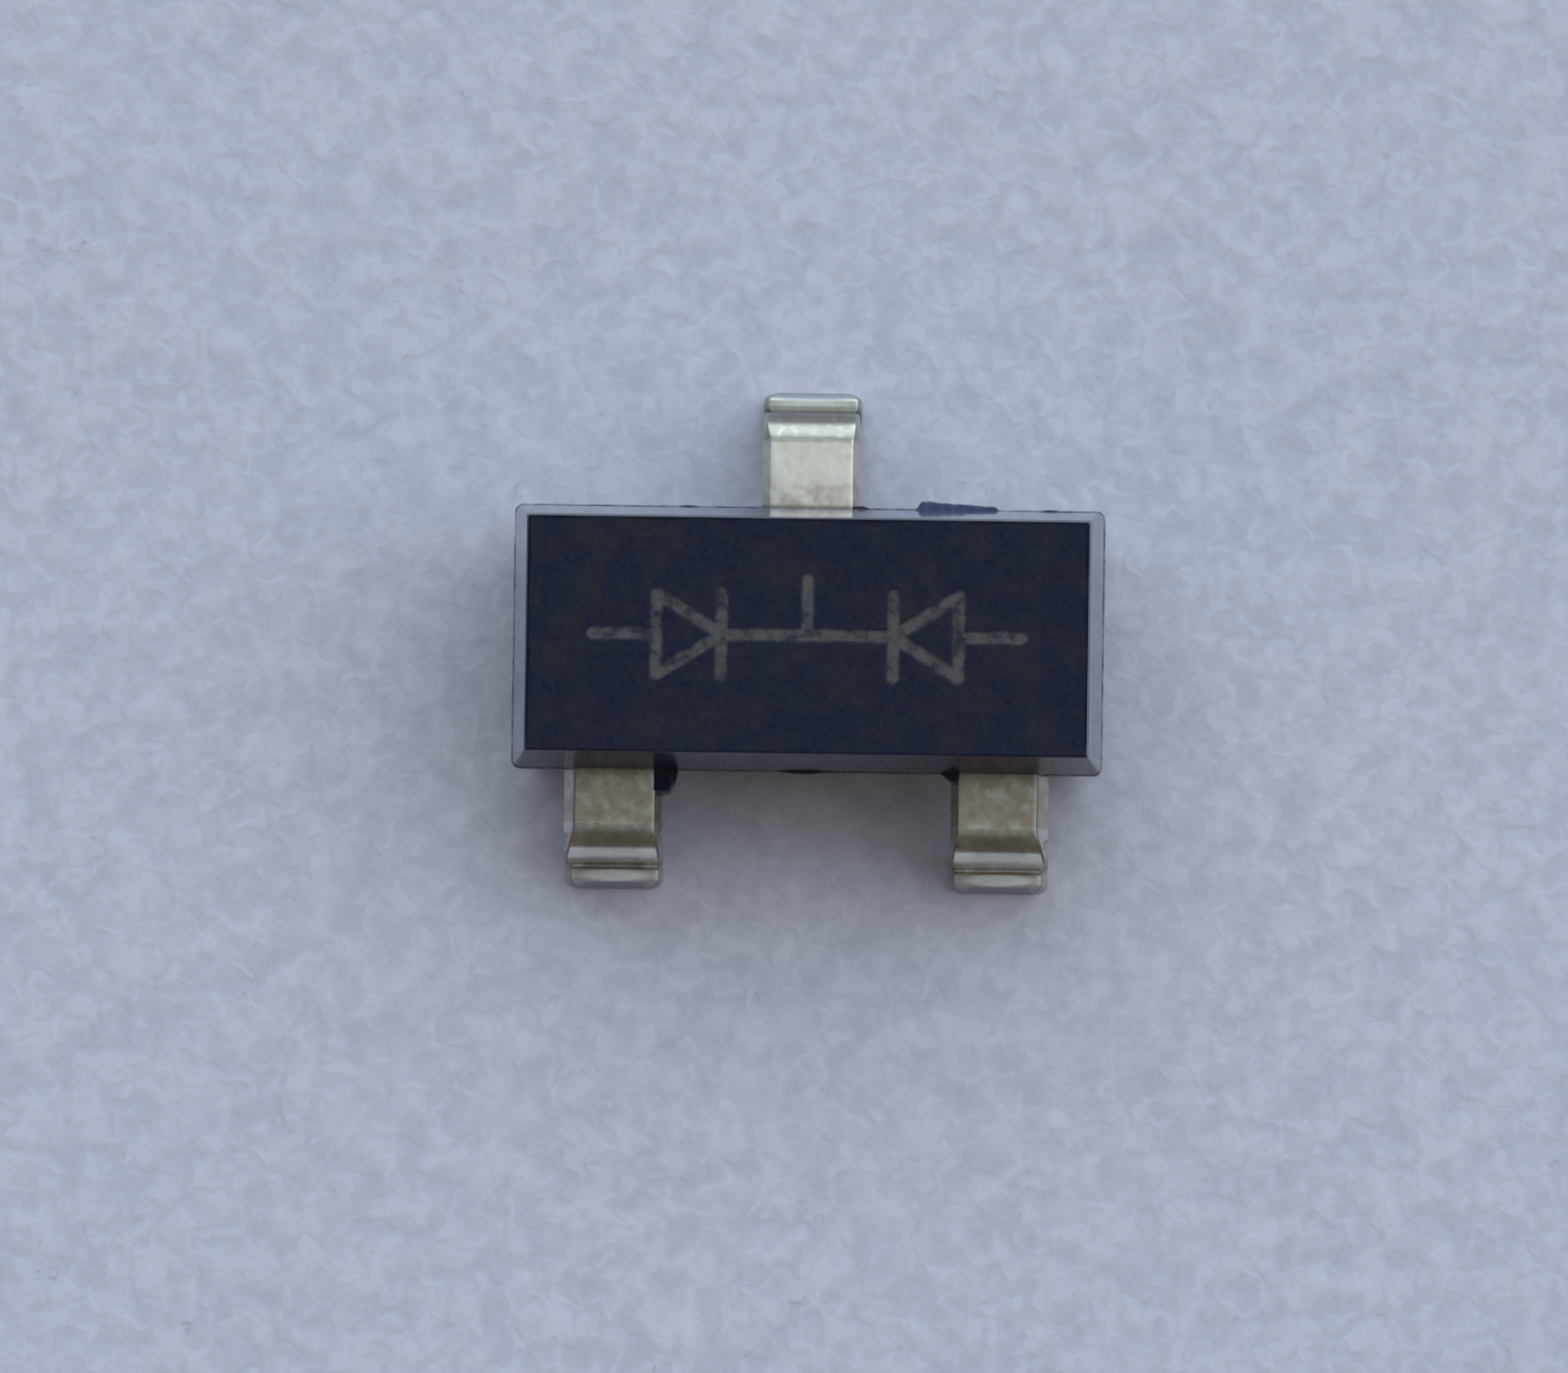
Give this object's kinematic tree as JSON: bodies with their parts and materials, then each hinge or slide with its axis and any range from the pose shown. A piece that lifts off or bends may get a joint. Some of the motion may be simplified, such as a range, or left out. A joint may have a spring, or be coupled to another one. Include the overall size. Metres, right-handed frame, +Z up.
{
  "type": "surface-mount diode",
  "caption": "Small moulded black diode package with bent gull-wing leads, soldered flat on a circuit board to let current pass one way.",
  "frame": {"origin": "middle of the footprint, on the solder plane that the feet stand on", "axes": "+X along the body, +Y towards the single cathode lead, +Z up from the solder plane"},
  "size_m": [0.0028, 0.0024, 0.001],
  "materials": {
    "resin": "fine matte black epoxy moulding resin",
    "lead_frame": "dull tin plating over copper alloy strip",
    "silicon": "sawn silicon with a bright metal contact",
    "solder": "dull solder film",
    "bond_wire": "drawn gold-coloured wire"
  },
  "bodies": {
    "root": {"moulded_body": "resin", "cathode_lead": "lead_frame", "left_anode_lead": "lead_frame", "right_anode_lead": "lead_frame", "left_chip": "silicon", "right_chip": "silicon", "left_chip_solder": "solder", "right_chip_solder": "solder", "left_bond_wire": "bond_wire", "right_bond_wire": "bond_wire"}
  },
  "joints": []
}
